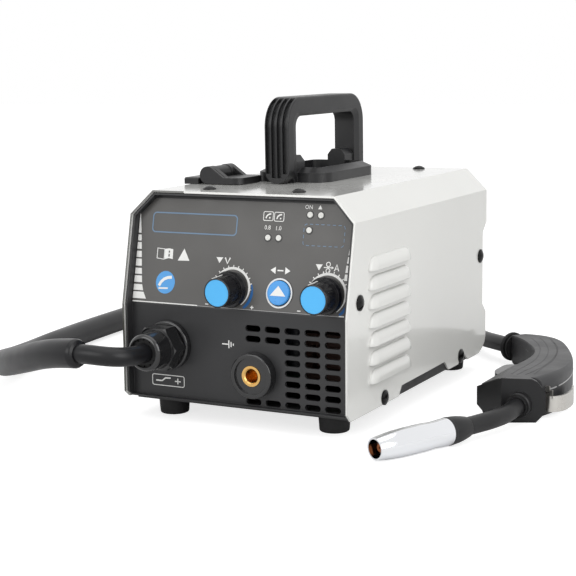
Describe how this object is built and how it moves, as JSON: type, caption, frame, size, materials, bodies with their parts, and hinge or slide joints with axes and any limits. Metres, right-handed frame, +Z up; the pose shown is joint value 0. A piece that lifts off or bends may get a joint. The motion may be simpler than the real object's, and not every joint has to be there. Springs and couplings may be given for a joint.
{
  "type": "mig welder",
  "caption": "Portable wire-feed welder: boxy louvred case with carry handle, side door, knobs, socket and a gas torch on a fixed lead that loops round it on the floor.",
  "frame": {"origin": "on the floor, at the centre of the four feet", "axes": "+Z up; the front with the controls faces -Y; +X is to the right as seen from the front, towards the torch"},
  "size_m": [0.4981, 0.7205, 0.2273],
  "materials": {
    "cover_paint": "light grey gloss paint",
    "black_steel": "black satin paint",
    "front_black": "black moulded plastic, fine satin",
    "label_grey": "dark grey overlay with printed marks",
    "handle_black": "black satin plastic",
    "screw_black": "black oxide",
    "rubber": "black rubber",
    "lead_rubber": "dark rubber lead",
    "gloss_black": "black nylon",
    "knob_black": "black plastic",
    "knob_blue": "blue plastic",
    "lens": "smoked lens",
    "brass": "polished brass",
    "board_green": "green circuit board",
    "alloy": "bare aluminium",
    "steel": "plain steel",
    "copper_coil": "laminated core with varnished winding",
    "cans": "dark blue sleeve",
    "fan_black": "black plastic",
    "feeder_black": "black nylon",
    "spool_wire": "coppered welding wire on a black spool",
    "torch_grey": "soft-touch dark grey",
    "torch_black": "black plastic",
    "hook_steel": "pale bright steel",
    "nozzle_chrome": "chrome",
    "tip_copper": "copper"
  },
  "bodies": {
    "case": {"base_tray": "black_steel", "main_cover": "cover_paint", "front_panel": "front_black", "control_label": "label_grey", "rear_panel": "black_steel", "centre_divider": "black_steel", "carry_handle": "handle_black", "cover_screws": "screw_black", "rubber_feet": "rubber", "socket_body": "gloss_black", "socket_contact": "brass", "gland_body": "gloss_black", "gland_nut": "gloss_black", "gland_seal": "rubber", "control_board": "board_green", "potentiometers": "steel", "indicator_lenses": "lens", "power_board": "board_green", "heatsinks": "alloy", "transformer": "copper_coil", "capacitors": "cans", "fan_frame": "fan_black", "switch_housing": "knob_black", "mains_gland": "gloss_black", "spool_spindle": "steel", "spool_retainer": "knob_black", "feeder_base": "feeder_black", "feeder_motor": "steel", "wire_inlet_guide": "steel", "torch_handle_upper": "torch_grey", "torch_handle_lower": "torch_grey", "torch_hand_guard": "torch_black", "torch_hook": "hook_steel", "torch_neck": "torch_black", "torch_collar": "torch_black", "torch_nozzle": "nozzle_chrome", "torch_tip": "tip_copper", "torch_boot": "rubber", "torch_cable": "lead_rubber", "cable_sleeve": "lead_rubber", "hinge_base": "black_steel", "hinge_pins": "steel"},
    "door": {"spool_door": "cover_paint", "door_hinge_leaf": "black_steel", "latch_bracket": "handle_black", "latch_pin": "steel"},
    "latch": {"latch_lever": "handle_black"},
    "voltage_knob": {"voltage_knob": "knob_black", "voltage_knob_cap": "knob_blue"},
    "speed_knob": {"speed_knob": "knob_black", "speed_knob_cap": "knob_blue"},
    "choose_button": {"choose_button": "knob_blue"},
    "power_rocker": {"power_rocker": "knob_black"},
    "fan_rotor": {"fan_rotor": "fan_black"},
    "wire_spool": {"wire_spool": "spool_wire"},
    "drive_roller": {"drive_roller": "alloy"},
    "pressure_arm": {"pressure_arm": "feeder_black"},
    "idler_roller": {"idler_roller": "alloy"},
    "tension_knob": {"tension_knob": "knob_black"},
    "torch_trigger": {"torch_trigger": "knob_black"}
  },
  "joints": [
    {"name": "door_hinge", "type": "hinge", "parent": "case", "child": "door", "pos_m": [-0.0855, 0, 0.0175], "axis": [0, -1, 0], "range_deg": [0, 70]},
    {"name": "latch_lift", "type": "hinge", "parent": "door", "child": "latch", "pos_m": [-0.058, -0.0495, 0.1708], "axis": [0, -1, 0], "range_deg": [0, 75]},
    {"name": "voltage_turn", "type": "hinge", "parent": "case", "child": "voltage_knob", "pos_m": [-0.0043, -0.14, 0.098], "axis": [0, -1, 0], "range_deg": [-140, 140]},
    {"name": "speed_turn", "type": "hinge", "parent": "case", "child": "speed_knob", "pos_m": [0.0695, -0.14, 0.098], "axis": [0, -1, 0], "range_deg": [-140, 140]},
    {"name": "choose_press", "type": "slide", "parent": "case", "child": "choose_button", "axis": [0, 0.9752, -0.2212], "range_m": [0, 0.0015], "stiffness_N_per_m": 300},
    {"name": "rocker_tilt", "type": "hinge", "parent": "case", "child": "power_rocker", "pos_m": [-0.052, 0.1185, 0.138], "axis": [1, 0, 0], "range_deg": [-18, 0]},
    {"name": "fan_spin", "type": "hinge", "parent": "case", "child": "fan_rotor", "pos_m": [0.04, 0.105, 0.089], "axis": [0, 1, 0], "continuous": true},
    {"name": "spool_spin", "type": "hinge", "parent": "case", "child": "wire_spool", "pos_m": [-0.04, 0.045, 0.088], "axis": [1, 0, 0], "continuous": true},
    {"name": "drive_spin", "type": "hinge", "parent": "case", "child": "drive_roller", "pos_m": [-0.055, -0.078, 0.043], "axis": [1, 0, 0], "continuous": true},
    {"name": "arm_lift", "type": "hinge", "parent": "case", "child": "pressure_arm", "pos_m": [-0.055, -0.054, 0.0756], "axis": [-1, 0, 0], "range_deg": [0, 50]},
    {"name": "idler_spin", "type": "hinge", "parent": "pressure_arm", "child": "idler_roller", "pos_m": [-0.055, -0.078, 0.0646], "axis": [1, 0, 0], "continuous": true},
    {"name": "tension_turn", "type": "hinge", "parent": "pressure_arm", "child": "tension_knob", "pos_m": [-0.055, -0.098, 0.09], "axis": [0, 0, 1], "range_deg": [0, 360]},
    {"name": "trigger_press", "type": "hinge", "parent": "case", "child": "torch_trigger", "pos_m": [0.1504, 0.01, 0.015], "axis": [0, 0, -1], "range_deg": [0, 4], "stiffness_Nm_per_rad": 0.5}
  ],
  "couplings": [
    {"joint": "idler_spin", "follows": "drive_spin", "ratio": -1.3333}
  ]
}
